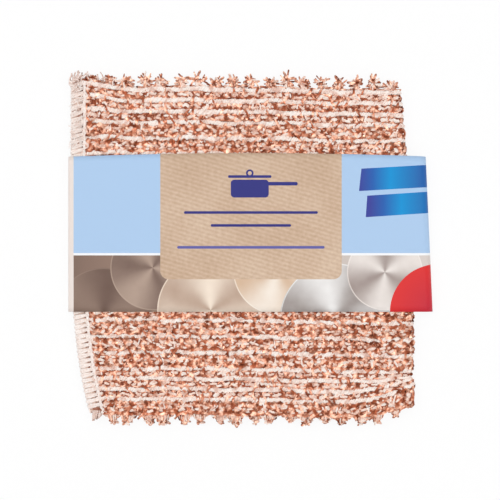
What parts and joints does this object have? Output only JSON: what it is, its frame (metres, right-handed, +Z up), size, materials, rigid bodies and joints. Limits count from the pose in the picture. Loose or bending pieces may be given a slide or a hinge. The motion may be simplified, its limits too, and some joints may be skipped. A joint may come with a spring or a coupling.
{
  "type": "pot scrubber",
  "caption": "Folded knitted copper and cotton scouring cloth with tufted edges and an overlocked side, held in a card sleeve that slides off.",
  "frame": {"origin": "on the table, under the middle of the whole part lying flat, which is the centre of its box", "axes": "+Z up out of the front face, +X along the knitted rows towards the fold, +Y towards the top edge"},
  "size_m": [0.1638, 0.1594, 0.0086],
  "materials": {
    "cream_cotton": "matte",
    "copper_ribbon": "bright",
    "overlock_thread": "matte",
    "printed_card": "satin",
    "dried_glue": "matte"
  },
  "bodies": {
    "cloth": {"bottom_tufts_back": "copper_ribbon", "bottom_tufts_front": "copper_ribbon", "copper_row_01": "copper_ribbon", "copper_row_02": "copper_ribbon", "copper_row_03": "copper_ribbon", "copper_row_04": "copper_ribbon", "copper_row_05": "copper_ribbon", "copper_row_06": "copper_ribbon", "copper_row_07": "copper_ribbon", "copper_row_08": "copper_ribbon", "copper_row_09": "copper_ribbon", "copper_row_10": "copper_ribbon", "copper_row_11": "copper_ribbon", "copper_row_12": "copper_ribbon", "copper_row_13": "copper_ribbon", "copper_row_14": "copper_ribbon", "copper_row_15": "copper_ribbon", "copper_row_16": "copper_ribbon", "copper_row_17": "copper_ribbon", "copper_row_18": "copper_ribbon", "copper_row_19": "copper_ribbon", "copper_row_20": "copper_ribbon", "copper_row_21": "copper_ribbon", "copper_row_22": "copper_ribbon", "cotton_chain_01": "cream_cotton", "cotton_chain_02": "cream_cotton", "cotton_chain_03": "cream_cotton", "cotton_chain_04": "cream_cotton", "cotton_chain_05": "cream_cotton", "cotton_chain_06": "cream_cotton", "cotton_chain_07": "cream_cotton", "cotton_chain_08": "cream_cotton", "cotton_chain_09": "cream_cotton", "cotton_chain_10": "cream_cotton", "cotton_chain_11": "cream_cotton", "cotton_chain_12": "cream_cotton", "cotton_chain_13": "cream_cotton", "cotton_chain_14": "cream_cotton", "cotton_chain_15": "cream_cotton", "cotton_chain_16": "cream_cotton", "cotton_chain_17": "cream_cotton", "cotton_chain_18": "cream_cotton", "cotton_chain_19": "cream_cotton", "cotton_chain_20": "cream_cotton", "cotton_chain_21": "cream_cotton", "cotton_chain_22": "cream_cotton", "overlock_lower_looper": "overlock_thread", "overlock_needle_thread": "overlock_thread", "overlock_upper_looper": "overlock_thread", "top_tufts_back": "copper_ribbon", "top_tufts_front": "copper_ribbon"},
    "sleeve": {"card_sleeve": "printed_card", "glue_strip": "dried_glue"}
  },
  "joints": [
    {"name": "sleeve_slide", "type": "slide", "parent": "cloth", "child": "sleeve", "axis": [0, 1, 0], "range_m": [-0.125, 0.109]}
  ]
}
